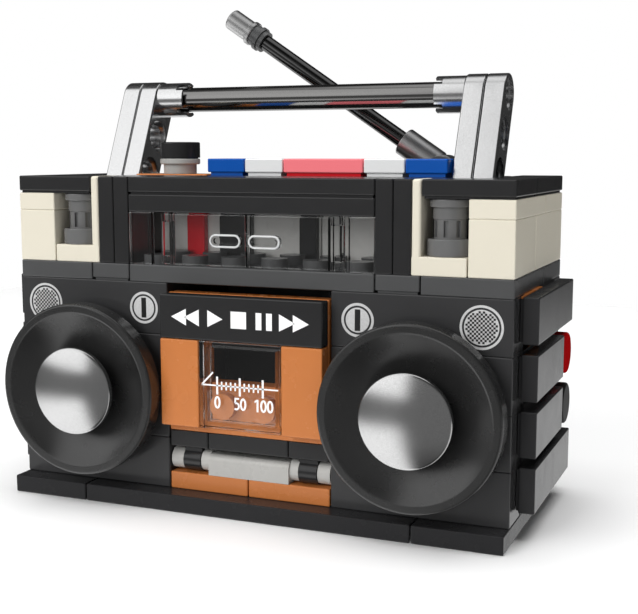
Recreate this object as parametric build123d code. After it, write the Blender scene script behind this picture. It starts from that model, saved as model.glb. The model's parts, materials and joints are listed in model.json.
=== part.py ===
from build123d import *
import math
import os

# ---------------------------------------------------------------------------
# Brick-built toy boombox, millimetres.
# +X runs to the right along the front, +Y runs from front to back, +Z is up.
# The origin is on the table, below the middle of the whole model.
# ---------------------------------------------------------------------------

# Building system
PITCH = 8.0                # stud spacing
PLATE = 3.2                # height of a plate or tile
BRICK = 3 * PLATE          # height of a brick
GAP = 0.1                  # play left on every side of a piece
EDGE = 0.25                # rounding of the moulded edges
WALL = 1.4                 # side wall of a hollow piece
ROOF = 1.2                 # top wall of a hollow piece
GROOVE = 0.4               # lifting groove around the foot of a tile
STUD_R = 2.4
STUD_H = 1.7
BAR_R = 1.6                # thin bar that clips hold
FIT = 0.05                 # radial play of a turning fit

# Outline of the body
HALF_WIDTH = 6 * PITCH     # half of the twelve-stud width
DOME_TOP = 9.1             # how far the speaker domes stand in front of the body
FRONT = (DOME_TOP + GAP) / 2 - 2.5 * PITCH    # front plane; the whole model is centred on Y
BAY_HALF = 2 * PITCH       # half width of the cassette bay
WINDOW_HALF = 3 * PITCH    # half width of the tuner window
BASE_STEP = PITCH / 2      # the base stands half a stud forward

# Heights
BODY_Z = PLATE
LEDGE_Z = BODY_Z + 4 * BRICK
UPPER_Z = LEDGE_Z + PLATE
CAP_Z = UPPER_Z + BRICK
DECK_Z = CAP_Z + PLATE
TOP_Z = DECK_Z + PLATE
BED_Z = TOP_Z + 0.2        # brown plate under the knob, just proud of the deck tiles
KEY_BED_Z = TOP_Z - 0.3
KEY_TOP_Z = TOP_Z + PLATE
KEY_FOOT = 0.9             # height and step of the foot of a key tile
KEY_STEP = 0.5

# Fins, jacks and the brown strip on the sides
FIN_LIFT = 1.6             # each fin stands this far above its brick course
FIN_FRONT = FRONT + PITCH / 2
FIN_BACK = FRONT + 4.5 * PITCH
FIN_BACK_SHORT = FRONT + 3.5 * PITCH
STRIP_Y = (FRONT + 4.8, FRONT + 20.5)
STRIP_H = 0.35
JACK_R = 3.85
JACK_FOOT_R = 3.5

# Speakers
SPEAKER_X = 4 * PITCH
SPEAKER_Z = 21.7
CONE_R = 16.0
CONE_RIM_R = 14.4
CONE_BACK = 1.6            # distances in front of the body
CONE_RIM_BACK = 3.2
CONE_RIM = 6.5
CONE_FLOOR = 3.2
CONE_FLOOR_R = 4.5
CONE_BACK_MID = (11.0, 2.1)    # radius and distance half-way along each curved side
CONE_BOWL_MID = (10.2, 4.3)
DOME_R = 8.05
DOME_RIM = 7.7
DOME_T = 1.1
STEM_R = 3.2
SPEAKER_MOUNT_R = 3.9

# Cassette door and its hinge
DOOR_HALF = BAY_HALF - 0.2
DOOR_BOTTOM = 14.4
DOOR_TOP = 40.0
DOOR_FLOOR_Z = 16.0        # lower edge of the door's tiles
DOOR_BAND_Z = 32.0         # lower edge of the black band
HINGE_Y = FRONT + 2.4
HINGE_Z = 8.7
HINGE_BLOCK_Y = (FRONT + 0.1, FRONT + 4.9)
HINGE_BLOCK_TOP = 10.3
HINGE_BLOCK_EDGE = 1.1
HINGE_ROW_Z = 11.3
PANE_T = 1.0               # the clear panel and its border
PANE_BORDER = 1.2
CLIP_X = (9.8, 13.3)
CLIP_R = 2.2
COLLAR_R = 2.0

# Tuner doors
LEAF_T = 1.4
LEAF_Z = (UPPER_Z + 0.2, CAP_Z - 0.2)
LEAF_PIVOT = (16.5, FRONT + 2.0)
LEAF_POST_R = 1.4
LEAF_PIN_R = 0.8
LEAF_PIN_L = 1.5
PULL_X = 3.8               # middle of the oblong pull
PULL_L = 3.7               # between the centres of its round ends
PULL_H = 2.5
PULL_HOLE_H = 1.0
PULL_T = 0.6               # how far it stands in front of the body
LIGHT_GAP = 2.7            # from the leaf's hinge to the fixed light

# Columns against the rear wall of the tuner compartment
COLUMN_Y = (FRONT + 2 * PITCH - 1.5, FRONT + 2 * PITCH + GAP)
BLACK_COLUMN_X = [(-12.4, -5.8), (4.2, 7.6)]
RED_COLUMN_X = (-19.4, -15.6)

# Rollers in the two corner niches
NICHE_X = 4.5 * PITCH
NICHE_FLOOR = UPPER_Z + PLATE
BRACKET_T = 1.6
PIN_L = 2.0                # how far the pin stands above the niche floor

# Carrying handle
ARM_WIDTH = 7.4
ARM_T = 3.85
ARM_EDGE = 0.3
HOLE_RIM_T = 0.8
ARM_X = (32.1, 36.05)      # inner faces of the two arms on a side
ARM_LEAN = 24.0            # degrees from upright, leaning back
ARM_SPAN = 3 * PITCH       # pivot to grip
PIVOT_Y = FRONT + 18.8
PIVOT_Z = 53.9
SLOT_Y = (FRONT + 11.0, FRONT + 27.0)
GRIP_R = 2.42
HOLE_RIM_R = 3.1           # shallow ring around each hole of an arm
BUSH_R = 3.45
BUSH_X = 26.4
CROWN_R = 2.9
CROWN_L = 1.5
NOTCH_W = 1.5

# Antenna
AERIAL_Y = FRONT + 4.5 * PITCH
AERIAL_X = 25.6
AERIAL_Z = 61.85
AERIAL_RISE = 33.8         # degrees above the deck, towards -X
SOCKET_R = 2.8
SOCKET_L = 10.0
ROD_END = 46.0             # distances along the aerial from its pivot
COLLAR_END = 49.0
TIP_END = 55.2
AERIAL_PIN_R = 1.2
EAR_R = 2.6                # the two ears that hold the pin
EAR_T = 1.0
MOUNT_T = 1.2
ROD_START = 4.5            # depth of the rod in the socket, from the pivot
COLLAR_R_LOW = 2.2
COLLAR_R_HIGH = 2.5
TIP_R = 2.15

# Volume knob
KNOB_X = -3 * PITCH
KNOB_R = 3.95
KNOB_STEM_R = 3.25
KNOB_FLANGE_Z = BED_Z + 1.85
KNOB_EDGE = 0.3


# ---------------------------------------------------------------------------
# Helpers
# ---------------------------------------------------------------------------

def line(n):
    """Y of the n-th grid line behind the front plane."""
    return FRONT + n * PITCH


def course(n):
    """Bottom and top of the n-th brick course of the lower body."""
    return (BODY_Z + n * BRICK, BODY_Z + (n + 1) * BRICK)


def block(x, y, z, edge=EDGE):
    """Solid between the pairs x, y and z, with rounded edges."""
    size = (x[1] - x[0], y[1] - y[0], z[1] - z[0])
    solid = Box(*size).moved(Location(((x[0] + x[1]) / 2, (y[0] + y[1]) / 2, (z[0] + z[1]) / 2)))
    return fillet(solid.edges(), edge) if edge else solid


def inset(pair, amount):
    """The pair with both ends moved inwards."""
    return (pair[0] + amount, pair[1] - amount)


def rod(radius, start, end):
    """Round bar from the point start to the point end."""
    axis = Vector(*end) - Vector(*start)
    plane = Plane(origin=Vector(*start), z_dir=axis)
    return extrude(plane * Circle(radius), axis.length)


def studs(x, y, z):
    """Studs on every grid cell of the rectangle x, y, standing on the height z."""
    rows = range(round((y[1] - y[0]) / PITCH))
    columns = range(round((x[1] - x[0]) / PITCH))
    centres = [(x[0] + PITCH * (i + 0.5), y[0] + PITCH * (j + 0.5)) for i in columns for j in rows]
    return [rod(STUD_R, (cx, cy, z - 0.2), (cx, cy, z + STUD_H)) for cx, cy in centres]


def shell(x, y, z):
    """Hollow piece in the cell x, y, z, open underneath."""
    solid = block(inset(x, GAP), inset(y, GAP), z)
    return solid - block(inset(x, GAP + WALL), inset(y, GAP + WALL), (z[0] - 1, z[1] - ROOF), 0)


def brick(x, y, z):
    """Hollow brick or plate with a stud on every cell."""
    solid = shell(x, y, z)
    for stud in studs(x, y, z[1]):
        solid += stud
    return solid


def tile(x, y, z):
    """Smooth solid tile with a lifting groove around its foot."""
    body = block(inset(x, GAP), inset(y, GAP), (z[0] + GROOVE, z[1]))
    return body + block(inset(x, GAP + GROOVE), inset(y, GAP + GROOVE), (z[0], z[0] + 1), 0)


def front_tile(x, z, face, back):
    """Tile on edge that faces forwards, with its groove at the back."""
    body = block(x, (face, back - GROOVE), z)
    return body + block(inset(x, GROOVE), (back - 1, back), inset(z, GROOVE), 0)


def side_tile(side, y, z):
    """Tile on edge on a side wall; side is -1 for left and 1 for right."""
    foot, face = HALF_WIDTH, HALF_WIDTH + PLATE
    body = block((foot + GROOVE, face), y, z)
    body += block((foot, foot + 1), inset(y, GROOVE), inset(z, GROOVE), 0)
    return body if side > 0 else mirror(body, Plane.YZ)


def both_sides(solids):
    """The solids and their mirror images."""
    return solids + [mirror(solid, Plane.YZ) for solid in solids]


def turned(outline):
    """Solid of revolution about Z from a closed outline of edges in the XZ plane."""
    return revolve(make_face(outline), Axis.Z)


def facing_front(solid, x, z):
    """Moves a solid turned about Z so that its top faces forwards from the front plane."""
    return Pos(x, FRONT, z) * Rot(X=90) * solid


# ---------------------------------------------------------------------------
# Lower body
# ---------------------------------------------------------------------------

def base_plates():
    y = (FRONT - BASE_STEP, line(5) - BASE_STEP)
    spans = [(-HALF_WIDTH, -SPEAKER_X), (-SPEAKER_X, SPEAKER_X), (SPEAKER_X, HALF_WIDTH)]
    return [block(inset(x, GAP), y, (0, PLATE)) for x in spans]


def front_bricks():
    cell = (BAY_HALF, HALF_WIDTH)
    return both_sides([brick(cell, (line(0), line(1)), course(n)) for n in range(3)])


def control_brick(side):
    x = sorted((side * BAY_HALF, side * HALF_WIDTH))
    return [brick(x, (line(0), line(1)), course(3))]


def side_bricks():
    y = inset((line(1), line(4)), GAP)
    lower = [block((5 * PITCH, HALF_WIDTH), y, course(n)) for n in range(3)]
    upper = block((5 * PITCH, HALF_WIDTH - PLATE), y, course(3))
    upper += block((5 * PITCH, HALF_WIDTH), (STRIP_Y[1] + GAP, y[1]), course(3))
    return both_sides(lower + [upper])


def rear_bricks():
    """Running bond across the back, then one course behind the tuner window."""
    straight = [-HALF_WIDTH, -2 * PITCH, 2 * PITCH, HALF_WIDTH]
    shifted = [-HALF_WIDTH, -4 * PITCH, 0, 4 * PITCH, HALF_WIDTH]
    solids = []
    for n in range(4):
        joints = shifted if n % 2 else straight
        for x in zip(joints, joints[1:]):
            solids.append(brick(x, (line(4), line(5)), course(n)))
    for x in [(-5 * PITCH, -PITCH), (-PITCH, PITCH), (PITCH, 5 * PITCH)]:
        solids.append(brick(x, (line(4), line(5)), (UPPER_Z, CAP_Z)))
    return solids


def bay_walls():
    """Side walls and rear wall of the cassette bay."""
    cell = (BAY_HALF, BAY_HALF + PITCH)
    walls = both_sides([brick(cell, (line(1), line(3)), course(n)) for n in range(4)])
    panel_y = (line(3) + GAP, line(3) + PLATE)
    panel = block(inset((-BAY_HALF, BAY_HALF), GAP), panel_y, inset((BODY_Z, LEDGE_Z), GAP))
    return walls + [panel]


def bay_floor_tiles():
    cell = (0, BAY_HALF)
    return both_sides([block(inset(cell, GAP), inset((line(0), line(3)), GAP), (BODY_Z, BODY_Z + PLATE))])


def side_backing_plates():
    """Brown plates let into the sides behind the top fins, with a strip above the groove."""
    y = (line(1) + GAP, STRIP_Y[1])
    z = (course(3)[0] + FIN_LIFT, LEDGE_Z)
    lip_x = (HALF_WIDTH, HALF_WIDTH + GROOVE - FIT)
    lip_z = (z[1] - STRIP_H, z[1])
    plate = block((HALF_WIDTH - PLATE, HALF_WIDTH), y, (z[0], z[1] - GAP))
    plate += block((HALF_WIDTH - STRIP_H, lip_x[1]), y, lip_z, 0)
    return both_sides([plate + block(lip_x, STRIP_Y, lip_z, 0)])


def side_fins():
    """Cooling-fin tiles on both sides; two on the right stop short of the jacks."""
    full = inset((FIN_FRONT, FIN_BACK), GAP)
    short = inset((FIN_FRONT, FIN_BACK_SHORT), GAP)
    solids = []
    for n in range(4):
        z = inset((course(n)[0] + FIN_LIFT, course(n)[1]), FIT)
        solids.append(side_tile(1, short if n in (1, 2) else full, z))
        solids.append(side_tile(-1, full, z))
    return solids


def audio_jack(n):
    """Round cap on the right side, level with the n-th fin."""
    y = line(4)
    z = course(n)[0] + FIN_LIFT + PITCH / 2
    foot = rod(JACK_FOOT_R, (HALF_WIDTH, y, z), (HALF_WIDTH + 1, y, z))
    cap = rod(JACK_R, (HALF_WIDTH + GROOVE, y, z), (HALF_WIDTH + PLATE, y, z))
    cap = fillet(cap.edges().group_by(Axis.X)[-1], 2 * EDGE)
    return [cap + foot]


# ---------------------------------------------------------------------------
# Speakers
# ---------------------------------------------------------------------------

def speaker_cone(side):
    """Concave dish with a broad rim."""
    (back_r, back_y), (bowl_r, bowl_y) = CONE_BACK_MID, CONE_BOWL_MID
    back = Polyline((0, 0, CONE_BACK), (CONE_FLOOR_R, 0, CONE_BACK))
    bowl_back = ThreePointArc((CONE_FLOOR_R, 0, CONE_BACK), (back_r, 0, back_y), (CONE_R, 0, CONE_RIM_BACK))
    rim = Polyline((CONE_R, 0, CONE_RIM_BACK), (CONE_R, 0, CONE_RIM), (CONE_RIM_R, 0, CONE_RIM))
    bowl = ThreePointArc((CONE_RIM_R, 0, CONE_RIM), (bowl_r, 0, bowl_y), (CONE_FLOOR_R, 0, CONE_FLOOR))
    close = Polyline((CONE_FLOOR_R, 0, CONE_FLOOR), (0, 0, CONE_FLOOR), (0, 0, CONE_BACK))
    cone = turned([back, bowl_back, rim, bowl, close])
    cone = fillet(cone.edges().group_by(Axis.Z)[-1], 2 * EDGE)
    return [facing_front(cone, side * SPEAKER_X, SPEAKER_Z)]


def speaker_dome(side):
    """Shallow silver dome on a short stem in the middle of the cone."""
    under = DOME_RIM - DOME_T
    stem = Polyline((0, 0, CONE_FLOOR), (STEM_R, 0, CONE_FLOOR), (STEM_R, 0, under), (DOME_R, 0, under))
    rim = Line((DOME_R, 0, under), (DOME_R, 0, DOME_RIM))
    cap = TangentArc((0, 0, DOME_TOP), (DOME_R, 0, DOME_RIM), tangent=(1, 0, 0))
    axis = Line((0, 0, DOME_TOP), (0, 0, CONE_FLOOR))
    return [facing_front(turned([stem, rim, cap, axis]), side * SPEAKER_X, SPEAKER_Z)]


def speaker_mounts():
    """Round plates that carry the cones."""
    plate = Cylinder(SPEAKER_MOUNT_R, CONE_BACK, align=(Align.CENTER, Align.CENTER, Align.MIN))
    return [facing_front(plate, side * SPEAKER_X, SPEAKER_Z) for side in (-1, 1)]


# ---------------------------------------------------------------------------
# Upper body
# ---------------------------------------------------------------------------

def ledge_plates():
    """Dark grey course, with the studs that show through the tuner window."""
    z = (LEDGE_Z, UPPER_Z)
    middle = shell((-WINDOW_HALF, WINDOW_HALF), (line(0), line(3)), z)
    for stud in studs((-WINDOW_HALF, WINDOW_HALF), (line(0), line(2)), UPPER_Z):
        middle += stud
    corner = shell((4 * PITCH, HALF_WIDTH), (line(0), line(3)), z)
    inner = shell((WINDOW_HALF, 4 * PITCH), (line(1), line(3)), z)
    rear = shell((0, HALF_WIDTH), (line(3), line(5)), z)
    return [middle] + both_sides([corner, inner, rear])


def ledge_tiles():
    """Grooved tiles at the ends of the middle plate, hollow for the studs below them."""
    x, y = (WINDOW_HALF, 4 * PITCH), (line(0), line(1))
    hollow = block(inset(x, GAP + WALL), inset(y, GAP + WALL), (LEDGE_Z - 1, UPPER_Z - ROOF), 0)
    return both_sides([tile(x, y, (LEDGE_Z, UPPER_Z)) - hollow])


def cream_bricks():
    x = (5 * PITCH, HALF_WIDTH)
    rows = [(line(0), line(2)), (line(2), line(5))]
    return both_sides([block(inset(x, GAP), inset(y, GAP), (UPPER_Z, CAP_Z)) for y in rows])


def cream_plates():
    x = (5 * PITCH, HALF_WIDTH)
    rows = [(line(0), line(3)), (line(3), line(5))]
    return both_sides([block(inset(x, GAP), inset(y, GAP), (CAP_Z, DECK_Z)) for y in rows])


def cream_brackets():
    """L-shaped brackets that make the floor and the inner wall of each niche, with a roller pin."""
    y = inset((line(0), line(1)), GAP)
    wall_x = (4 * PITCH - BRACKET_T, 4 * PITCH)
    wall = block(wall_x, y, (UPPER_Z, TOP_Z), 0.5)
    floor = block((wall_x[0], 5 * PITCH - GAP), y, (UPPER_Z, NICHE_FLOOR))
    pin = rod(BAR_R, (NICHE_X, line(0.5), NICHE_FLOOR - 0.2), (NICHE_X, line(0.5), NICHE_FLOOR + PIN_L))
    return both_sides([wall + floor + pin])


def divider_plates():
    """Two plates on edge between each niche and the tuner window."""
    y = inset((line(0), line(1)), GAP)
    inner = block((WINDOW_HALF, WINDOW_HALF + PLATE - GAP), y, (UPPER_Z, TOP_Z))
    outer = block((WINDOW_HALF + PLATE, WINDOW_HALF + 2 * PLATE - 0.05), y, (UPPER_Z, TOP_Z))
    return both_sides([inner, outer])


def cheek_bricks():
    """Black bricks that carry the handle pivots, and the rear wall of each niche."""
    x = (WINDOW_HALF, 4 * PITCH)
    cheek = block(inset(x, GAP), inset((line(1), line(4)), GAP), (UPPER_Z, CAP_Z))
    niche_back = block((4 * PITCH, 5 * PITCH - GAP), (line(1) + GAP, SLOT_Y[0]), (UPPER_Z, DECK_Z))
    return both_sides([cheek, niche_back])


def deck_plates():
    """Plates over the tuner window and the deck, and the studded strip along the back."""
    z = (CAP_Z, DECK_Z)
    header = block(inset((-WINDOW_HALF, WINDOW_HALF), GAP), inset((line(0), line(1)), GAP), z)
    deck = block(inset((0, 4 * PITCH), GAP), inset((line(1), line(4)), GAP), z)
    rear_x = (0, 5 * PITCH)
    rear_y = (line(4), line(5))
    plain = shell(rear_x, rear_y, z)
    studded = mirror(plain, Plane.YZ)
    for stud in studs((-5 * PITCH, 0), rear_y, DECK_Z):
        studded += stud
    plain += studs((0, PITCH), rear_y, DECK_Z)[0]
    return [header, plain, studded] + both_sides([deck])


def header_tile():
    return [tile((-WINDOW_HALF, WINDOW_HALF), (line(0), line(1)), (DECK_Z, TOP_Z))]


def corner_top_tiles():
    """Black tiles over the cream corners, leaving the slots for the handle arms."""
    z = (DECK_Z, TOP_Z)
    lip_x = (4 * PITCH, HALF_WIDTH)
    front = tile(lip_x, (line(0), SLOT_Y[0]), z) + tile((5 * PITCH, HALF_WIDTH), (line(1), line(2)), z)
    rear = tile((5 * PITCH, HALF_WIDTH), (line(2), line(5)), z)
    bridge = block(inset((4 * PITCH, 5 * PITCH), GAP), (SLOT_Y[1], line(4)), z)
    return both_sides([front, rear, bridge])


def deck_tiles():
    rows = [(line(1), line(2)), (line(3), line(4))]
    return both_sides([tile((0, 4 * PITCH), y, (DECK_Z, TOP_Z)) for y in rows])


def knob_bed_plate():
    """Brown plate with the stud that the knob turns on."""
    y = inset((line(2), line(3)), GAP)
    plate = block(inset((-4 * PITCH, -2 * PITCH), GAP), y, (DECK_Z, BED_Z))
    return [plate + rod(STUD_R, (KNOB_X, line(2.5), BED_Z - 0.2), (KNOB_X, line(2.5), BED_Z + STUD_H))]


def key_bed_plates():
    """Black plates under the keys, a little below the deck tiles."""
    y = inset((line(2), line(3)), GAP)
    cells = [(-2 * PITCH, 0), (0, 4 * PITCH)]
    return [block(inset(x, GAP), y, (DECK_Z, KEY_BED_Z)) for x in cells]


def key_tiles(cells):
    """Key tiles; each cell is the pair of X grid numbers that it covers."""
    y = inset((line(2), line(3)), GAP)
    foot_z = (KEY_BED_Z, KEY_BED_Z + KEY_FOOT)
    keys = []
    for a, b in cells:
        x = inset((a * PITCH, b * PITCH), GAP)
        foot = block(inset(x, KEY_STEP), inset(y, KEY_STEP), (foot_z[0], foot_z[1] + 1), 0)
        keys.append(block(x, y, (foot_z[1], KEY_TOP_Z)) + foot)
    return keys


def compartment_wall():
    """Light grey bricks behind the tuner window."""
    cells = [(-WINDOW_HALF, -PITCH), (-PITCH, PITCH), (PITCH, WINDOW_HALF)]
    return [block(inset(x, GAP), inset((line(2), line(3)), GAP), (UPPER_Z, CAP_Z)) for x in cells]


def compartment_posts():
    return [block(x, COLUMN_Y, (UPPER_Z, CAP_Z)) for x in BLACK_COLUMN_X]


def compartment_red_brick():
    return [block(RED_COLUMN_X, COLUMN_Y, (UPPER_Z, CAP_Z))]


# ---------------------------------------------------------------------------
# Cassette door
# ---------------------------------------------------------------------------

def hinge_bar():
    """Grey hinge block on the bay floor, with a bar through it."""
    solid = block((-PITCH, PITCH), HINGE_BLOCK_Y, (BODY_Z + PLATE, HINGE_BLOCK_TOP), 0)
    solid = fillet(solid.edges().filter_by(Axis.X).group_by(Axis.Z)[-1], HINGE_BLOCK_EDGE)
    solid += rod(BAR_R, (-DOOR_HALF, HINGE_Y, HINGE_Z), (DOOR_HALF, HINGE_Y, HINGE_Z))
    for side in (-1, 1):
        for x in [(PITCH, CLIP_X[0] - GAP), (CLIP_X[1] + GAP, DOOR_HALF)]:
            solid += rod(COLLAR_R, (side * x[0], HINGE_Y, HINGE_Z), (side * x[1], HINGE_Y, HINGE_Z))
    return [solid]


def door_hinge_clips():
    """Row of black plates along the foot of the door; the outer two carry the clips."""
    y = (FRONT, FRONT + PLATE)
    z = (HINGE_ROW_Z, DOOR_BOTTOM)
    middle = block(inset((-PITCH, PITCH), 0.05), y, z)
    ring = rod(CLIP_R, (CLIP_X[0], HINGE_Y, HINGE_Z), (CLIP_X[1], HINGE_Y, HINGE_Z))
    ring += block(CLIP_X, (HINGE_Y - 1.4, FRONT + PLATE - GAP), (HINGE_Z + 1, HINGE_ROW_Z + 0.5), 0)
    ring -= rod(BAR_R + FIT, (PITCH, HINGE_Y, HINGE_Z), (BAY_HALF, HINGE_Y, HINGE_Z))
    ring -= block((PITCH, BAY_HALF), (HINGE_Y, HINGE_Y + PITCH), (HINGE_Z - 1.3, HINGE_Z + 1.1), 0)
    outer = block((PITCH + 0.05, DOOR_HALF), y, z) + ring
    return [middle] + both_sides([outer])


def door_frame():
    """Brown plate behind the door tiles, with an opening and the two studs seen through the window."""
    solid = block((-DOOR_HALF, DOOR_HALF), (FRONT, FRONT + PLATE), (DOOR_BOTTOM, DOOR_TOP))
    window = block((-PITCH, PITCH), (FRONT - 1, FRONT + PLATE + 1), (DOOR_FLOOR_Z + PITCH, DOOR_BAND_Z), 0)
    solid -= window
    for x in (-PITCH / 2, PITCH / 2):
        z = DOOR_FLOOR_Z + PITCH / 2
        solid += rod(STUD_R, (x, FRONT + 0.2, z), (x, FRONT - STUD_H, z))
    return [solid]


def door_band_tile():
    x = (-DOOR_HALF, DOOR_HALF)
    return [front_tile(x, (DOOR_BAND_Z + 0.05, DOOR_TOP), FRONT - PLATE, FRONT)]


def door_side_tiles():
    z = (DOOR_FLOOR_Z, DOOR_BAND_Z - 0.05)
    return both_sides([front_tile((PITCH + GAP, DOOR_HALF), z, FRONT - PLATE, FRONT)])


def door_window():
    """Clear panel with a border, open behind."""
    x = inset((-PITCH, PITCH), 0.05)
    z = inset((DOOR_FLOOR_Z, DOOR_BAND_Z), 0.05)
    solid = block(x, (FRONT - PLATE, FRONT), z)
    hollow = block(inset(x, PANE_BORDER), (FRONT - PLATE + PANE_T, FRONT + 1), inset(z, PANE_BORDER), 0)
    return [solid - hollow]


# ---------------------------------------------------------------------------
# Tuner doors, knob and rollers
# ---------------------------------------------------------------------------

def tuner_door():
    """Right-hand clear leaf with its hinge post and a raised oblong pull."""
    px, py = LEAF_PIVOT
    solid = block((GAP, px), (FRONT + GAP, FRONT + GAP + LEAF_T), LEAF_Z, 0.2)
    solid += rod(LEAF_POST_R, (px, py, LEAF_Z[0]), (px, py, LEAF_Z[1]))
    for foot, end in [(LEAF_Z[0], LEAF_PIN_L), (LEAF_Z[1], -LEAF_PIN_L)]:
        solid -= rod(LEAF_PIN_R + FIT, (px, py, foot - end), (px, py, foot + end))
    pull_z = (UPPER_Z + CAP_Z) / 2
    outline = Plane.XZ * SlotCenterToCenter(PULL_L, PULL_H)
    hole = Plane.XZ * SlotCenterToCenter(PULL_L, PULL_HOLE_H)
    root = FRONT + GAP + 0.2
    solid += extrude(outline - hole, root - FRONT + PULL_T).moved(Location((PULL_X, root, pull_z)))
    return solid


def tuner_hinge_frames():
    """Fixed clear lights beside the leaves and the pins that the leaves turn on."""
    px, py = LEAF_PIVOT
    x = (px + LIGHT_GAP, WINDOW_HALF - GAP)
    light = block(x, (FRONT + GAP, FRONT + GAP + LEAF_T), (UPPER_Z, CAP_Z))
    low = rod(LEAF_PIN_R, (px, py, UPPER_Z), (px, py, UPPER_Z + LEAF_PIN_L))
    high = rod(LEAF_PIN_R, (px, py, CAP_Z - LEAF_PIN_L), (px, py, CAP_Z))
    return both_sides([light, low, high])


def knob_base():
    """Grey round plate: a narrow foot under a wide flange."""
    y = line(2.5)
    flange = rod(KNOB_R, (KNOB_X, y, KNOB_FLANGE_Z), (KNOB_X, y, KEY_TOP_Z))
    solid = fillet(flange.edges(), KNOB_EDGE)
    solid += rod(KNOB_STEM_R, (KNOB_X, y, BED_Z + FIT), (KNOB_X, y, KEY_TOP_Z - KNOB_EDGE))
    return [solid - rod(STUD_R + FIT, (KNOB_X, y, BED_Z - 1), (KNOB_X, y, BED_Z + STUD_H + 0.1))]


def knob_cap():
    y = line(2.5)
    cap = rod(KNOB_R, (KNOB_X, y, KEY_TOP_Z + 0.15), (KNOB_X, y, KEY_TOP_Z + PLATE))
    cap = fillet(cap.edges().group_by(Axis.Z)[-1], KNOB_EDGE)
    return [cap + rod(KNOB_R - GROOVE, (KNOB_X, y, KEY_TOP_Z), (KNOB_X, y, KEY_TOP_Z + 1))]


def roller():
    """Right-hand roller: foot, fluted drum, neck and flange, turning on the bracket's pin."""
    def stage(radius, low, high):
        return rod(radius, (0, 0, low), (0, 0, high))

    solid = fillet(stage(3.9, 0, 2.9).edges(), 0.2) + stage(2.75, 2.7, 6.3)
    solid += fillet(stage(2.95, 6.1, 8.3).edges(), 0.15) + fillet(stage(3.5, 8.1, 9.45).edges(), 0.2)
    flute = Box(1.6, 0.8, 2.7).moved(Location((3.0, 0, 4.55)))
    for n in range(8):
        solid -= Rot(Z=45 * n) * flute
    solid -= stage(BAR_R + FIT, -1, PIN_L + GAP)
    return solid.moved(Location((NICHE_X, line(0.5), NICHE_FLOOR + FIT)))


# ---------------------------------------------------------------------------
# Carrying handle
# ---------------------------------------------------------------------------

def handle_arm(x):
    """Thin liftarm whose inner face is at x, leaning back from the handle pivot."""
    outline = Plane.YZ * Pos(0, ARM_SPAN / 2) * SlotCenterToCenter(ARM_SPAN, ARM_WIDTH, rotation=90)
    arm = extrude(outline, ARM_T)
    arm = fillet(arm.edges(), ARM_EDGE)
    for n in range(4):
        z = n * PITCH
        arm -= rod(STUD_R + FIT, (-1, 0, z), (ARM_T + 1, 0, z))
        for end in [(-1, HOLE_RIM_T), (ARM_T - HOLE_RIM_T, ARM_T + 1)]:
            arm -= rod(HOLE_RIM_R, (end[0], 0, z), (end[1], 0, z))
    return Pos(x, PIVOT_Y, PIVOT_Z) * Rot(X=-ARM_LEAN) * arm


def handle_arms(side):
    arms = [handle_arm(x) for x in ARM_X]
    return arms if side > 0 else [mirror(arm, Plane.YZ) for arm in arms]


def grip_point(x):
    lean = math.radians(ARM_LEAN)
    return (x, PIVOT_Y + ARM_SPAN * math.sin(lean), PIVOT_Z + ARM_SPAN * math.cos(lean))


def handle_bar():
    end = ARM_X[1] + ARM_T - HOLE_RIM_T - 0.5
    return [rod(GRIP_R, grip_point(-end), grip_point(end))]


def handle_bushes():
    """Silver bushes on the grip, against the arms, with a toothed crown at the inner end."""
    bush = rod(BUSH_R, grip_point(BUSH_X), grip_point(ARM_X[0] - 0.02))
    bush -= rod(GRIP_R + FIT, grip_point(BUSH_X - 1), grip_point(ARM_X[0] + 1))
    bush -= rod(CROWN_R, grip_point(BUSH_X - 1), grip_point(BUSH_X + CROWN_L))
    notch = Box(2 * CROWN_L, NOTCH_W, 2.4).moved(Location((0, 0, BUSH_R)))
    for n in range(4):
        bush -= Pos(*grip_point(BUSH_X)) * Rot(X=90 * n + 45) * notch
    return both_sides([bush])


def handle_pins():
    """Pins between cheek and corner brick that the arms swing on."""
    return both_sides([rod(STUD_R, (4 * PITCH - GAP, PIVOT_Y, PIVOT_Z), (5 * PITCH + GAP, PIVOT_Y, PIVOT_Z))])


# ---------------------------------------------------------------------------
# Antenna
# ---------------------------------------------------------------------------

def aerial_point(distance):
    rise = math.radians(AERIAL_RISE)
    return (AERIAL_X - distance * math.cos(rise), AERIAL_Y, AERIAL_Z + distance * math.sin(rise))


def aerial_pin(radius, play):
    y = (AERIAL_Y - PITCH / 2 + play, AERIAL_Y + PITCH / 2 - play)
    return rod(radius, (AERIAL_X, y[0], AERIAL_Z), (AERIAL_X, y[1], AERIAL_Z))


def antenna_mount():
    """Fork on the rear strip with the pin that the antenna swings on."""
    row = inset((line(4), line(5)), GAP)
    solid = block(inset((2 * PITCH, 4 * PITCH), GAP), row, (DECK_Z, DECK_Z + MOUNT_T))
    for y in [(row[0], row[0] + EAR_T), (row[1] - EAR_T, row[1])]:
        ear = block((AERIAL_X - EAR_R, AERIAL_X + EAR_R), y, (DECK_Z + MOUNT_T / 2, AERIAL_Z), 0)
        solid += ear + rod(EAR_R, (AERIAL_X, y[0], AERIAL_Z), (AERIAL_X, y[1], AERIAL_Z))
    return [solid + aerial_pin(AERIAL_PIN_R, GAP)]


def antenna_socket():
    """Silver socket: an eye on the pin and a barrel that takes the rod."""
    eye = aerial_pin(SOCKET_R + GAP, EAR_T + 0.6)
    barrel = rod(SOCKET_R, aerial_point(1.5), aerial_point(SOCKET_L))
    solid = eye + fillet(barrel.edges(), 0.25)
    solid -= aerial_pin(AERIAL_PIN_R + FIT, 0)
    return [solid - rod(BAR_R, aerial_point(ROD_START), aerial_point(SOCKET_L + 1))]


def antenna_rod():
    return [rod(BAR_R, aerial_point(ROD_START), aerial_point(ROD_END))]


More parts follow.
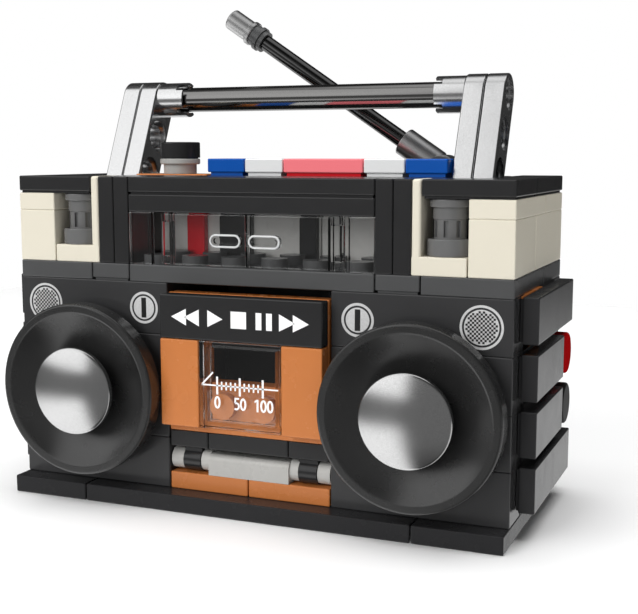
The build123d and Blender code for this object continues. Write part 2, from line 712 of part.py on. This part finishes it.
def antenna_collar():
    """Dark collar with a raised ring between rod and tip."""
    solid = rod(COLLAR_R_LOW, aerial_point(ROD_END), aerial_point(COLLAR_END))
    return [solid + rod(COLLAR_R_HIGH, aerial_point(ROD_END + 1.0), aerial_point(ROD_END + 1.8))]


def antenna_tip():
    """Silver tip: a flange and a rounded barrel."""
    flange = rod(COLLAR_R_HIGH, aerial_point(COLLAR_END), aerial_point(COLLAR_END + 1.0))
    barrel = rod(TIP_R, aerial_point(COLLAR_END + 0.5), aerial_point(TIP_END))
    return [fillet(flange.edges(), 0.2) + fillet(barrel.edges(), 0.4)]


# ---------------------------------------------------------------------------
# Sub-parts
# ---------------------------------------------------------------------------

right_leaf = tuner_door()
right_roller = roller()

nodes = {
    "base_plates": base_plates(),
    "front_bricks": front_bricks(),
    "control_brick_left": control_brick(-1),
    "control_brick_right": control_brick(1),
    "side_bricks": side_bricks(),
    "rear_bricks": rear_bricks(),
    "bay_walls": bay_walls(),
    "bay_floor_tiles": bay_floor_tiles(),
    "side_backing_plates": side_backing_plates(),
    "side_fins": side_fins(),
    "audio_jack_red": audio_jack(2),
    "audio_jack_black": audio_jack(1),
    "speaker_cone_left": speaker_cone(-1),
    "speaker_cone_right": speaker_cone(1),
    "speaker_dome_left": speaker_dome(-1),
    "speaker_dome_right": speaker_dome(1),
    "speaker_mounts": speaker_mounts(),
    "ledge_plates": ledge_plates(),
    "ledge_tiles": ledge_tiles(),
    "cream_bricks": cream_bricks(),
    "cream_plates": cream_plates(),
    "cream_brackets": cream_brackets(),
    "divider_plates": divider_plates(),
    "cheek_bricks": cheek_bricks(),
    "deck_plates": deck_plates(),
    "header_tile": header_tile(),
    "corner_top_tiles": corner_top_tiles(),
    "deck_tiles": deck_tiles(),
    "knob_bed_plate": knob_bed_plate(),
    "key_bed_plates": key_bed_plates(),
    "key_tiles_blue": key_tiles([(-2, -1), (3, 4)]),
    "key_tiles_white": key_tiles([(-1, 0), (2, 3)]),
    "key_tile_red": key_tiles([(0, 2)]),
    "compartment_wall": compartment_wall(),
    "compartment_posts": compartment_posts(),
    "compartment_red_brick": compartment_red_brick(),
    "hinge_bar": hinge_bar(),
    "door_hinge_clips": door_hinge_clips(),
    "door_frame": door_frame(),
    "door_band_tile": door_band_tile(),
    "door_side_tiles": door_side_tiles(),
    "door_window": door_window(),
    "tuner_door_right": [right_leaf],
    "tuner_door_left": [mirror(right_leaf, Plane.YZ)],
    "tuner_hinge_frames": tuner_hinge_frames(),
    "knob_base": knob_base(),
    "knob_cap": knob_cap(),
    "roller_right": [right_roller],
    "roller_left": [mirror(right_roller, Plane.YZ)],
    "handle_arms_left": handle_arms(-1),
    "handle_arms_right": handle_arms(1),
    "handle_bar": handle_bar(),
    "handle_bushes": handle_bushes(),
    "handle_pins": handle_pins(),
    "antenna_mount": antenna_mount(),
    "antenna_socket": antenna_socket(),
    "antenna_rod": antenna_rod(),
    "antenna_collar": antenna_collar(),
    "antenna_tip": antenna_tip(),
}

os.makedirs("parts", exist_ok=True)
for name, solids in nodes.items():
    export_step(Compound(children=solids), f"parts/{name}.step")
print(len(nodes), "sub-parts written")
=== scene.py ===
import json
import math

import bmesh
import bpy
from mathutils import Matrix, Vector


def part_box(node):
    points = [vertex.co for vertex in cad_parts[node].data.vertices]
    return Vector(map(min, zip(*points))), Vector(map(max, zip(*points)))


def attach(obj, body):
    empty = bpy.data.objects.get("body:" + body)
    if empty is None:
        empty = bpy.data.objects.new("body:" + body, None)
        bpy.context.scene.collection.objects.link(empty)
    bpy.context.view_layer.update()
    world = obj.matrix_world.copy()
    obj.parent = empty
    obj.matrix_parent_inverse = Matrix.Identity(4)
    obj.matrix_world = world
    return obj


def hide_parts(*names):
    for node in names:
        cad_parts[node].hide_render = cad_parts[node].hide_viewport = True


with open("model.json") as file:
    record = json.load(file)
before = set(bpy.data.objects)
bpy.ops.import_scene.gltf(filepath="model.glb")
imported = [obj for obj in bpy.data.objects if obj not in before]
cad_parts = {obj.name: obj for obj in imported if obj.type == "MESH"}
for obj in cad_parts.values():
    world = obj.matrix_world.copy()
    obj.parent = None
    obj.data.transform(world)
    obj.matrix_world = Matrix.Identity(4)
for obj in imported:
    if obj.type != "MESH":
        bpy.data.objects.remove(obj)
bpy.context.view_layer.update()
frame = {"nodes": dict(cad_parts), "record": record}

MM = 0.001
PULL_X = 3.8               # middle of a door pull from the centre line, mm
PULL_REACH = 1.85          # from its middle to the centre of a round end, mm
BEAD_R = 1.03              # round ends of the bead on a pull, to the middle of the bead, mm
BEAD_THICK = 0.19          # radius of the bead itself, mm
BEAD_SIDES = 12
BEAD_STEPS = 16            # along each round end
DOME_SIDES = 128
DOME_ROWS = 25             # from the rim to the middle of a dome
KEY_FOOT = 0.9             # height of the red key's foot in its own deeper red, mm; above it the face carries a painted highlight
NODES = frame["nodes"]
SLOT_OF = {part["node"]: part["material_slot"] for part in frame["record"]["subparts"]}


# ---------------------------------------------------------------------------
# Materials
# ---------------------------------------------------------------------------

class Graph:
    """A small helper that adds and joins the nodes of one material."""

    def __init__(self, name):
        self.material = bpy.data.materials.new(name)
        self.material.use_nodes = True
        self.tree = self.material.node_tree
        self.shader = self.tree.nodes["Principled BSDF"]
        self.place = self.add("ShaderNodeTexCoord").outputs["Object"]

    def add(self, kind, **settings):
        node = self.tree.nodes.new(kind)
        for key, value in settings.items():
            setattr(node, key, value)
        return node

    def join(self, source, target):
        self.tree.links.new(source, target)

    def noise(self, scale, detail, distortion=0.0):
        node = self.add("ShaderNodeTexNoise")
        node.inputs["Scale"].default_value = scale
        node.inputs["Detail"].default_value = detail
        node.inputs["Distortion"].default_value = distortion
        self.join(self.place, node.inputs["Vector"])
        return node.outputs["Fac"]

    def fit(self, value, low, high, out_low, out_high):
        """Maps value from low..high to out_low..out_high."""
        node = self.add("ShaderNodeMapRange")
        for key, number in zip(("From Min", "From Max", "To Min", "To Max"), (low, high, out_low, out_high)):
            node.inputs[key].default_value = number
        self.join(value, node.inputs["Value"])
        return node.outputs["Result"]

    def ramp(self, value, colours):
        """Colour ramp through the pairs (position, colour)."""
        node = self.add("ShaderNodeValToRGB")
        ends = node.color_ramp.elements
        while len(ends) < len(colours):
            ends.new(0.5)
        for end, (position, colour) in zip(ends, colours):
            end.position = position
            end.color = (*colour, 1)
        self.join(value, node.inputs["Fac"])
        return node.outputs["Color"]

    def sum(self, first, second):
        node = self.add("ShaderNodeMath", operation="ADD")
        self.join(first, node.inputs[0])
        self.join(second, node.inputs[1])
        return node.outputs["Value"]

    def bump(self, height, depth, strength=1.0, under=None):
        node = self.add("ShaderNodeBump")
        node.inputs["Distance"].default_value = depth
        node.inputs["Strength"].default_value = strength
        self.join(height, node.inputs["Height"])
        if under:
            self.join(under, node.inputs["Normal"])
        self.join(node.outputs["Normal"], self.shader.inputs["Normal"])
        return node.outputs["Normal"]

    def set(self, **values):
        for key, value in values.items():
            self.shader.inputs[key.replace("_", " ")].default_value = value


def shade(colour, factor):
    return tuple(min(1.0, channel * factor) for channel in colour)


def moulded_graph(name, colour, roughness=0.2, drift=0.04, ior=1.5, gloss=0.5):
    """Injection-moulded plastic: flow marks, faint sinks and a little handling haze."""
    g = Graph(name)
    cloud = g.noise(90, 4, distortion=0.4)
    tones = [(0.25, shade(colour, 1 - drift)), (0.75, shade(colour, 1 + drift))]
    g.join(g.ramp(cloud, tones), g.shader.inputs["Base Color"])
    haze = g.fit(g.noise(260, 5), 0.35, 0.7, 0.0, 0.05)
    base = g.fit(cloud, 0.0, 1.0, roughness * 0.9, roughness * 1.1)
    g.join(g.sum(base, haze), g.shader.inputs["Roughness"])
    sinks = g.bump(g.noise(70, 1), 0.03 * MM, 0.06)
    g.bump(g.noise(1900, 3), 0.012 * MM, 0.15, under=sinks)
    g.set(IOR=ior, Specular_IOR_Level=gloss)
    return g


def moulded(name, colour, *finish, **more):
    return moulded_graph(name, colour, *finish, **more).material


def sheen_over_foot(name, low, high, split, roughness=0.18):
    """Moulded plastic whose foot, below the height split, shows its own deeper colour; above the split the
    colour is a painted highlight, a lighter and pinker sheen.
    """
    g = moulded_graph(name, high, roughness)
    height = g.add("ShaderNodeSeparateXYZ")
    g.join(g.place, height.inputs["Vector"])
    step = g.fit(height.outputs["Z"], split - 0.1 * MM, split + 0.1 * MM, 0.0, 1.0)
    # painted highlight: above the split the face takes the lighter, pinker sheen colour, and the foot keeps
    # the deeper red
    g.join(g.ramp(step, [(0.0, low), (1.0, high)]), g.shader.inputs["Base Color"])
    return g.material


def lacquered(name, colour, roughness=0.24, wear=0.08):
    """Metallic lacquer on plastic: fine flake, soft grain and slightly cloudy gloss."""
    g = Graph(name)
    flake = g.noise(5200, 2)
    tones = [(0.3, shade(colour, 0.93)), (0.7, shade(colour, 1.06))]
    g.join(g.ramp(flake, tones), g.shader.inputs["Base Color"])
    cloud = g.fit(g.noise(120, 4), 0.3, 0.7, roughness * 0.85, roughness * 1.15)
    worn = g.fit(g.noise(260, 3), 0.6, 0.8, 0.0, wear)
    g.join(g.sum(cloud, worn), g.shader.inputs["Roughness"])
    g.bump(flake, 0.008 * MM, 0.2)
    g.set(Metallic=1.0)
    return g.material


def clear(name, tint, roughness=0.0):
    """Clear polycarbonate with faint flow lines; shadow and diffuse rays go straight through."""
    g = Graph(name)
    flow = g.noise(60, 2, distortion=1.2)
    g.join(g.fit(flow, 0.3, 0.8, roughness, roughness + 0.012), g.shader.inputs["Roughness"])
    g.join(g.ramp(flow, [(0.2, shade(tint, 0.98)), (0.8, tint)]), g.shader.inputs["Base Color"])
    g.bump(flow, 0.01 * MM, 0.1)
    g.set(Transmission_Weight=1.0, IOR=1.49)
    path = g.add("ShaderNodeLightPath")
    through = g.add("ShaderNodeBsdfTransparent")
    through.inputs["Color"].default_value = (0.92, 0.92, 0.92, 1)
    mix = g.add("ShaderNodeMixShader")
    either = g.add("ShaderNodeMath", operation="MAXIMUM")
    g.join(path.outputs["Is Shadow Ray"], either.inputs[0])
    g.join(path.outputs["Is Diffuse Ray"], either.inputs[1])
    g.join(either.outputs["Value"], mix.inputs["Fac"])
    g.join(g.shader.outputs["BSDF"], mix.inputs[1])
    g.join(through.outputs["BSDF"], mix.inputs[2])
    g.join(mix.outputs["Shader"], g.tree.nodes["Material Output"].inputs["Surface"])
    return g.material


def printed(name, colour):
    """Pad-printed ink: slightly matt, with a fine dot structure and thin spots."""
    g = Graph(name)
    dots = g.noise(4200, 2)
    g.join(g.ramp(dots, [(0.25, shade(colour, 0.86)), (0.6, colour)]), g.shader.inputs["Base Color"])
    g.join(g.fit(dots, 0.3, 0.7, 0.38, 0.5), g.shader.inputs["Roughness"])
    g.bump(dots, 0.006 * MM, 0.3)
    return g.material


MATERIALS = {
    "black_abs": moulded("black_abs", (0.0175, 0.0175, 0.018), 0.2, 0.05),
    "dark_grey_abs": moulded("dark_grey_abs", (0.067, 0.068, 0.069), 0.22),
    "cream_abs": moulded("cream_abs", (0.705, 0.662, 0.551), 0.3, 0.012),
    "brown_abs": moulded("brown_abs", (0.50, 0.168, 0.046), 0.24, 0.03),
    "blue_abs": moulded("blue_abs", (0.0005, 0.083, 0.41), 0.18),
    "white_abs": moulded("white_abs", (0.83, 0.84, 0.84), 0.2, 0.015),
    "red_abs": moulded("red_abs", (0.72, 0.010, 0.022), 0.18),
    "light_grey_abs": moulded("light_grey_abs", (0.42, 0.415, 0.397), 0.26),
    "silver_lacquer": lacquered("silver_lacquer", (0.76, 0.762, 0.765), 0.2),
    "gunmetal_lacquer": lacquered("gunmetal_lacquer", (0.25, 0.247, 0.243), 0.12),
    "clear_plastic": clear("clear_plastic", (0.97, 0.975, 0.975)),
}
CONE_BLACK = moulded("cone_black", (0.014, 0.014, 0.014), 0.24, 0.05, ior=1.68)
DOME_SILVER = lacquered("dome_silver", (0.66, 0.66, 0.66), 0.2, wear=0.0)
# Compartment wall: a near-white grey, lighter than light_grey_abs, raised to brighten the shade inside the
# compartment, so its colour is partly painted light
WALL_GREY_LIFTED = moulded("wall_grey_lifted", (0.70, 0.69, 0.665), 0.26)
# Painted light: the front and control bricks get a lighter black than black_abs to make up for the shade
# under the ledge and beside the cones
FRONT_BLACK_LIFTED = moulded("front_black_lifted", (0.034, 0.034, 0.035), 0.2, 0.05)
ROLLER_GREY = moulded("roller_grey", (0.13, 0.13, 0.13), 0.16, ior=1.7)
ROD_METAL = lacquered("rod_metal", (0.10, 0.10, 0.10), 0.14)
TIP_METAL = lacquered("tip_metal", (0.56, 0.56, 0.56), 0.34)
BASE_BLACK = moulded("base_black", (0.020, 0.020, 0.021), 0.24, 0.05, gloss=0.15)
FIN_BLACK = moulded("fin_black", (0.025, 0.025, 0.026), 0.18, 0.05, gloss=0.35)
JACK_RED = moulded("jack_red", (0.36, 0.005, 0.006), 0.4, 0.05, gloss=0.0)
JACK_BLACK = moulded("jack_black", (0.012, 0.012, 0.012), 0.4, 0.05, gloss=0.05)
# Painted highlight: an even pale bead stands in for the glints along the rims of the clear door pulls
BEAD_GLINT = moulded("pull_glint_bead", (0.60, 0.61, 0.61), 0.08, 0.04)
INK_GREY = printed("ink_grey", (0.60, 0.60, 0.60))
INK_BLACK = printed("ink_black", (0.012, 0.012, 0.012))
INK_WHITE = printed("ink_white", (0.95, 0.95, 0.95))
key_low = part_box("key_tile_red")[0]
# Red key: a painted highlight makes its face pale pink above the foot, and the foot keeps the tile's deeper
# red
KEY_RED_SHEEN = sheen_over_foot("key_red_sheen", (0.66, 0.004, 0.012), (1.0, 0.225, 0.255), key_low.z + KEY_FOOT * MM)

SPECIAL = {
    "speaker_cone_left": CONE_BLACK,
    "speaker_cone_right": CONE_BLACK,
    "compartment_wall": WALL_GREY_LIFTED,
    # front and control bricks: lighter black, painted light against the shade under the ledge
    "front_bricks": FRONT_BLACK_LIFTED,
    "control_brick_left": FRONT_BLACK_LIFTED,
    "control_brick_right": FRONT_BLACK_LIFTED,
    "roller_left": ROLLER_GREY,
    "roller_right": ROLLER_GREY,
    "antenna_rod": ROD_METAL,
    "antenna_socket": TIP_METAL,
    "antenna_tip": TIP_METAL,
    "key_tile_red": KEY_RED_SHEEN,
    "base_plates": BASE_BLACK,
    "side_fins": FIN_BLACK,
    "audio_jack_red": JACK_RED,
    "audio_jack_black": JACK_BLACK,
}


def paint(obj, material):
    obj.data.materials.clear()
    obj.data.materials.append(material)


def add_piece(name, shape, material, body):
    """Turns a bmesh into a named object that rides on a CAD body."""
    bmesh.ops.recalc_face_normals(shape, faces=shape.faces)
    data = bpy.data.meshes.new(name)
    shape.to_mesh(data)
    shape.free()
    obj = bpy.data.objects.new(name, data)
    bpy.context.scene.collection.objects.link(obj)
    paint(obj, material)
    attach(obj, body)
    return obj


for node, obj in NODES.items():
    paint(obj, SPECIAL.get(node, MATERIALS[SLOT_OF[node]]))


# ---------------------------------------------------------------------------
# Printed decoration: thin inked shapes just proud of the plastic
# ---------------------------------------------------------------------------

INK = 0.03 * MM            # thickness of a printed layer


class Print:
    """Collects flat outlines in the XZ plane, then makes one thin solid that faces forwards."""

    def __init__(self, name, face, centre=(0.0, 0.0)):
        self.name = name
        self.face = face
        self.centre = centre
        self.mesh = bmesh.new()

    def polygon(self, points, lift=0):
        """Adds a prism; lift counts the printed layers that lie under it."""
        front = self.face - INK * (lift + 1)
        back = self.face - INK * lift
        cx, cz = self.centre
        flat = [(cx + x * MM, cz + z * MM) for x, z in points]
        ends = [[self.mesh.verts.new((x, y, z)) for x, z in flat] for y in (front, back)]
        self.mesh.faces.new(ends[0])
        self.mesh.faces.new(reversed(ends[1]))
        for i in range(len(points)):
            j = (i + 1) % len(points)
            self.mesh.faces.new((ends[0][j], ends[0][i], ends[1][i], ends[1][j]))

    def bar(self, x, z, lift=0):
        self.polygon([(x[0], z[0]), (x[1], z[0]), (x[1], z[1]), (x[0], z[1])], lift)

    def stroke(self, start, end, width, lift=0):
        along = (Vector(end) - Vector(start)).normalized()
        across = Vector((-along.y, along.x)) * width / 2
        a, b = Vector(start), Vector(end)
        self.polygon([tuple(a - across), tuple(b - across), tuple(b + across), tuple(a + across)], lift)

    def disc(self, radius, lift=0, sides=64):
        angles = [2 * math.pi * i / sides for i in range(sides)]
        self.polygon([(radius * math.cos(a), radius * math.sin(a)) for a in angles], lift)

    def ring(self, inner, outer, lift=0, sides=64):
        for i in range(sides):
            a, b = (2 * math.pi * k / sides for k in (i, i + 1))
            corners = [(inner, a), (outer, a), (outer, b), (inner, b)]
            self.polygon([(r * math.cos(t), r * math.sin(t)) for r, t in corners], lift)

    def band(self, points, width):
        """A line of constant width through the points; a loop when the last point is the first."""
        ways = [(Vector(b) - Vector(a)).normalized() for a, b in zip(points, points[1:])]
        loop = (Vector(points[0]) - Vector(points[-1])).length < 1e-6
        inner, outer = [], []
        for i, point in enumerate(points):
            before = ways[i - 1] if i or loop else ways[0]
            after = ways[i] if i < len(ways) else ways[0 if loop else -1]
            way = (before + after).normalized()
            across = Vector((-way.y, way.x)) * width / 2
            inner.append(tuple(Vector(point) - across))
            outer.append(tuple(Vector(point) + across))
        for i in range(len(points) - 1):
            self.polygon([inner[i], inner[i + 1], outer[i + 1], outer[i]])

    def digit(self, value, x):
        """One of the digits 0, 1 and 5, centred on x."""
        tall, wide, line = 0.95, 0.44, 0.36
        turn = [math.pi * k / 16 for k in range(33)]
        if value == "0":
            self.band([(x + wide * math.cos(t), tall * math.sin(t)) for t in turn], line)
        elif value == "1":
            self.bar((x - 0.05, x + 0.31), (-1.12, 1.12))
            self.stroke((x - 0.42, 0.62), (x + 0.02, 0.98), 0.3)
        else:
            self.bar((x - 0.38, x + 0.5), (0.8, 1.12))
            self.stroke((x - 0.24, 0.82), (x - 0.3, 0.16), 0.32)
            bowl = [t - math.pi * 0.72 for t in turn if t < math.pi * 1.4]
            self.band([(x - 0.06 + 0.5 * math.cos(t), -0.4 + 0.56 * math.sin(t)) for t in bowl], 0.33)

    def finish(self, body, material, slot):
        """Joins the prisms, drops the walls left between them, and adds the piece."""
        bmesh.ops.remove_doubles(self.mesh, verts=self.mesh.verts, dist=1e-7)
        walls = [face for face in self.mesh.faces if all(len(edge.link_faces) > 2 for edge in face.edges)]
        bmesh.ops.delete(self.mesh, geom=walls, context="FACES_ONLY")
        add_piece(self.name, self.mesh, material, body)


def grille_print(side, name):
    """Round grille: a ring round a light disc with a chequer of dark squares."""
    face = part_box(f"control_brick_{name}")[0].y
    radius, disc, pitch, dot = 3.7, 2.95, 0.72, 0.185
    centre = (side * 42.6 * MM, 36.75 * MM)
    light = Print(f"grille_print_{name}", face, centre)
    light.ring(radius - 0.4, radius)
    light.disc(disc)
    light.finish("cabinet", INK_GREY, "light_grey_abs")
    dark = Print(f"grille_dots_{name}", face, centre)
    reach = int(disc / pitch) + 1
    for i in range(-2 * reach, 2 * reach + 1):
        for j in range(-2 * reach, 2 * reach + 1):
            x, z = (i + j) * pitch / 2, (i - j) * pitch / 2
            if math.hypot(x, z) < disc - dot * 1.9:
                dark.bar((x - dot, x + dot), (z - dot, z + dot), 1)
    dark.finish("cabinet", INK_BLACK, "black_abs")


def key_mark(side, name):
    """Round mark with an upright slot."""
    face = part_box(f"control_brick_{name}")[0].y
    centre = (side * 21.0 * MM, 36.8 * MM)
    light = Print(f"key_mark_{name}", face, centre)
    light.ring(2.5, 2.95)
    light.disc(2.15)
    light.finish("cabinet", INK_GREY, "light_grey_abs")
    dark = Print(f"key_slot_{name}", face, centre)
    dark.bar((-0.5, 0.5), (-1.85, 1.85), 1)
    dark.finish("cabinet", INK_BLACK, "black_abs")


def transport_symbols():
    """Plain tape-transport symbols across the door's band."""
    low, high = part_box("door_band_tile")
    centre = ((low.x + high.x) / 2, (low.z + high.z) / 2)
    marks = Print("transport_symbols", low.y, centre)
    size = 1.5

    def triangle(x, way):
        marks.polygon([(x - way * size, -size), (x + way * size, 0), (x - way * size, size)][::way])

    for x in (-11.9, -9.3):
        triangle(x, -1)
    triangle(-4.6, 1)
    marks.bar((-1.5, 1.5), (-size, size))
    for x in (3.9, 5.9):
        marks.bar((x - 0.55, x + 0.55), (-size, size))
    for x in (9.3, 11.9):
        triangle(x, 1)
    marks.finish("cassette_door", INK_WHITE, "white_abs")


def dial_scale():
    """Tuning scale on the door's window: a line with ticks and a slanted lead-in."""
    low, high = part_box("door_window")
    level = low.z + 8.05 * MM
    marks = Print("dial_scale", low.y, ((low.x + high.x) / 2, level))
    marks.bar((-7.4, 7.6), (-0.13, 0.13))
    marks.stroke((-7.35, 0.0), (-5.1, 2.35), 0.3)
    spacing = 0.893
    for i in range(11):
        x = -4.3 + i * spacing
        long = i % 5 == 0
        half, reach = (0.19, 1.62) if long else (0.15, 0.74)
        marks.bar((x - half, x + half), (-reach, reach))
    marks.finish("cassette_door", INK_WHITE, "white_abs")
    numbers = Print("dial_numbers", low.y, ((low.x + high.x) / 2, low.z + 5.0 * MM))
    for text, x in (("0", -4.3), ("50", 0.15), ("100", 4.75)):
        for place, digit in enumerate(text):
            numbers.digit(digit, x + (place - (len(text) - 1) / 2) * 1.28)
    numbers.finish("cassette_door", INK_WHITE, "white_abs")


def dome(side):
    """Smooth turned dome in place of the faceted one: stem, rim with a soft edge, shallow cap."""
    low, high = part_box(f"speaker_dome_{side}")
    radius, depth = (high.x - low.x) / 2, high.y - low.y
    rise, rim, stem, soft = 1.4 * MM, 1.1 * MM, 3.2 * MM, 0.12 * MM
    under = rise + rim
    profile = [(stem, depth), (stem, under), (radius - soft, under)]
    profile += [(radius, under - soft), (radius, rise + soft)]
    curve = (radius ** 2 + rise ** 2) / (2 * rise)
    for i in range(DOME_ROWS):
        r = (radius - soft) * (1 - i / DOME_ROWS)
        profile.append((r, curve - math.sqrt(curve ** 2 - r ** 2)))
    shape = bmesh.new()
    centre = Vector(((low.x + high.x) / 2, low.y, (low.z + high.z) / 2))
    rows = []
    for r, y in profile:
        angles = [2 * math.pi * k / DOME_SIDES for k in range(DOME_SIDES)]
        rows.append([shape.verts.new(centre + Vector((r * math.cos(a), y, r * math.sin(a)))) for a in angles])
    for first, second in zip(rows, rows[1:]):
        for k in range(DOME_SIDES):
            shape.faces.new((first[k], first[k - 1], second[k - 1], second[k]))
    shape.faces.new(rows[0])
    top = shape.verts.new(centre)
    for k in range(DOME_SIDES):
        shape.faces.new((rows[-1][k], rows[-1][k - 1], top))
    obj = add_piece(f"dome_{side}", shape, DOME_SILVER, "cabinet")
    obj.data.shade_smooth()
    obj.data.set_sharp_from_angle(angle=math.radians(35))
    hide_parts(f"speaker_dome_{side}")


def pull_glint_bead(side):
    """Rounded pale bead along the face of the oblong pull on a tuner door; its pale colour is a painted
    highlight for the glints on the clear pull.
    """
    low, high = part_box(f"tuner_door_{side}")
    middle = (low.z + high.z) / 2
    sign = -1 if side == "left" else 1
    centre = Vector((sign * PULL_X * MM, low.y, middle))
    reach, radius, tube = PULL_REACH * MM, BEAD_R * MM, BEAD_THICK * MM
    path = []
    for end, start in ((1, -90), (-1, 90)):
        for k in range(BEAD_STEPS + 1):
            a = math.radians(start + 180 * k / BEAD_STEPS)
            path.append((end * reach + radius * math.cos(a), radius * math.sin(a)))
    shape = bmesh.new()
    rings = []
    for i, (x, z) in enumerate(path):
        before, after = Vector(path[i - 1]), Vector(path[(i + 1) % len(path)])
        way = (after - before).normalized()
        out = Vector((way.y, 0, -way.x))
        ring = []
        for k in range(BEAD_SIDES):
            a = 2 * math.pi * k / BEAD_SIDES
            offset = out * (tube * math.cos(a)) + Vector((0, tube * math.sin(a), 0))
            ring.append(shape.verts.new(centre + Vector((x, 0, z)) + offset))
        rings.append(ring)
    for i, ring in enumerate(rings):
        for k in range(BEAD_SIDES):
            shape.faces.new((rings[i - 1][k], rings[i - 1][k - 1], ring[k - 1], ring[k]))
    obj = add_piece(f"pull_glint_bead_{side}", shape, BEAD_GLINT, f"tuner_leaf_{side}")
    obj.data.shade_smooth()


for side, name in ((-1, "left"), (1, "right")):
    grille_print(side, name)
    key_mark(side, name)
    dome(name)
    pull_glint_bead(name)
transport_symbols()
dial_scale()


# ---------------------------------------------------------------------------
# Studio
# ---------------------------------------------------------------------------

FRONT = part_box("door_band_tile")[1].y      # front plane of the cabinet


def studio_floor():
    """A pale table top; what shows of it in reflections is part of the studio world."""
    data = bpy.data.meshes.new("studio_floor")
    x, y = (-0.26, 0.26), (FRONT - 0.10, 0.30)
    corners = [(x[0], y[0], 0), (x[1], y[0], 0), (x[1], y[1], 0), (x[0], y[1], 0)]
    data.from_pydata(corners, [], [(0, 1, 2, 3)])
    floor = bpy.data.objects.new("studio_floor", data)
    bpy.context.scene.collection.objects.link(floor)
    floor.location.z = -0.05 * MM
    floor.visible_glossy = False
    g = Graph("studio_floor")
    tones = [(0.3, (0.90, 0.90, 0.90)), (0.7, (0.91, 0.91, 0.91))]
    g.join(g.ramp(g.noise(6, 2), tones), g.shader.inputs["Base Color"])
    g.set(Roughness=0.6)
    paint(floor, g.material)


def softbox(name, place, aim, size, power):
    """A soft lamp that lights the pieces but stays out of their reflections."""
    data = bpy.data.lights.new(name, "AREA")
    data.shape = "RECTANGLE"
    data.size, data.size_y = size
    data.energy = power
    light = bpy.data.objects.new(name, data)
    light.location = place
    light.rotation_euler = (Vector(aim) - Vector(place)).to_track_quat("-Z", "Y").to_euler()
    light.visible_glossy = False
    light.visible_transmission = False
    light.visible_camera = False
    bpy.context.scene.collection.objects.link(light)


class Sky:
    """Node helper for the studio's surroundings, by direction."""

    def __init__(self):
        self.world = bpy.data.worlds.new("studio")
        self.world.use_nodes = True
        self.tree = self.world.node_tree
        split = self.tree.nodes.new("ShaderNodeSeparateXYZ")
        place = self.tree.nodes.new("ShaderNodeTexCoord")
        self.tree.links.new(place.outputs["Generated"], split.inputs["Vector"])
        x, y, z = split.outputs
        degrees = 180 / math.pi
        self.azimuth = self.math("MULTIPLY", self.math("ARCTAN2", x, self.math("MULTIPLY", y, -1)), degrees)
        self.elevation = self.math("MULTIPLY", self.math("ARCSINE", z, 0), degrees)

    def math(self, operation, first, second):
        node = self.tree.nodes.new("ShaderNodeMath")
        node.operation = operation
        for socket, value in zip(node.inputs, (first, second)):
            if isinstance(value, (int, float)):
                socket.default_value = value
            else:
                self.tree.links.new(value, socket)
        return node.outputs["Value"]

    def rise(self, value, low, high, to=1.0):
        """Smooth step from 0 at low to the number to at high; low may be above high."""
        node = self.tree.nodes.new("ShaderNodeMapRange")
        node.interpolation_type = "SMOOTHERSTEP"
        for key, number in zip(("From Min", "From Max", "To Min", "To Max"), (low, high, 0.0, to)):
            node.inputs[key].default_value = number
        self.tree.links.new(value, node.inputs["Value"])
        return node.outputs["Result"]

    def panel(self, azimuths, elevations, level):
        """A bright area with soft edges, in degrees from the front (right is positive) and up.

        Each four numbers are: starts, full, full until, gone.
        """
        parts = [level]
        for value, (first, full, until, last) in ((self.azimuth, azimuths), (self.elevation, elevations)):
            parts += [self.rise(value, first, full), self.rise(value, last, until)]
        product = parts[0]
        for part in parts[1:]:
            product = self.math("MULTIPLY", product, part)
        return product


def studio_world():
    """Plain white backdrop; reflections see a dim room with soft bright areas, fixed in space."""
    sky = Sky()
    bpy.context.scene.world = sky.world
    path = sky.tree.nodes.new("ShaderNodeLightPath")
    below, above = (-92, -91), (91, 92)          # past straight down and straight up
    left_back, right_back = (-183, -182), (182, 183)  # past straight behind, either way round
    areas = [
        sky.panel((-110, -50, 30, 90), (-60, -20, 20, 50), 0.13),       # dim front of the room
        sky.panel((-80, -65, -24, -6), (2, 11, 56, 68), 1.08),          # large panel at the front left
        sky.panel((-130, -95, -30, -8), (*below, -24, -9), 1.1),        # table at the front left
        sky.panel((40, 75, *right_back), (*below, -14, -3), 0.75),      # table at the right and behind
        sky.panel((*left_back, -120, -80), (*below, -14, -3), 0.75),    # table at the left and behind
        sky.panel((*left_back, *right_back), (58, 74, *above), 0.9),    # ceiling
    ]
    room = 0.035                                 # everywhere else
    for area in areas:
        room = sky.math("ADD", area, room)
    diffuse = sky.math("MULTIPLY", path.outputs["Is Diffuse Ray"], 0.155)
    others = sky.math("MULTIPLY", sky.math("SUBTRACT", 1.0, path.outputs["Is Diffuse Ray"]), room)
    level = sky.math("ADD", diffuse, others)
    level = sky.math("MAXIMUM", level, path.outputs["Is Camera Ray"])
    sky.tree.links.new(level, sky.tree.nodes["Background"].inputs["Strength"])
    sky.tree.nodes["Background"].inputs["Color"].default_value = (1, 1, 1, 1)


def camera():
    data = bpy.data.cameras.new("camera")
    data.sensor_width = 36
    data.lens = 63.93
    data.clip_start = 0.01
    view = bpy.data.objects.new("camera", data)
    view.location = (87.38 * MM, FRONT - 179.25 * MM, 64.83 * MM)
    view.rotation_euler = (math.radians(82.32), 0, math.radians(22.28))
    bpy.context.scene.collection.objects.link(view)
    bpy.context.scene.camera = view


studio_floor()
studio_world()
# name, place and aim in metres, size in metres, power in watts
softbox("key", (-0.32, -0.66, 0.46), (0, 0, 0.04), (0.5, 0.5), 4.3)
softbox("fill", (0.03, -0.75, 0.13), (0, 0, 0.05), (0.4, 0.25), 1.5)
softbox("top", (0.0, 0.08, 0.8), (0, 0, 0.0), (0.9, 0.7), 8.5)
camera()
bpy.context.scene.view_settings.view_transform = "Standard"
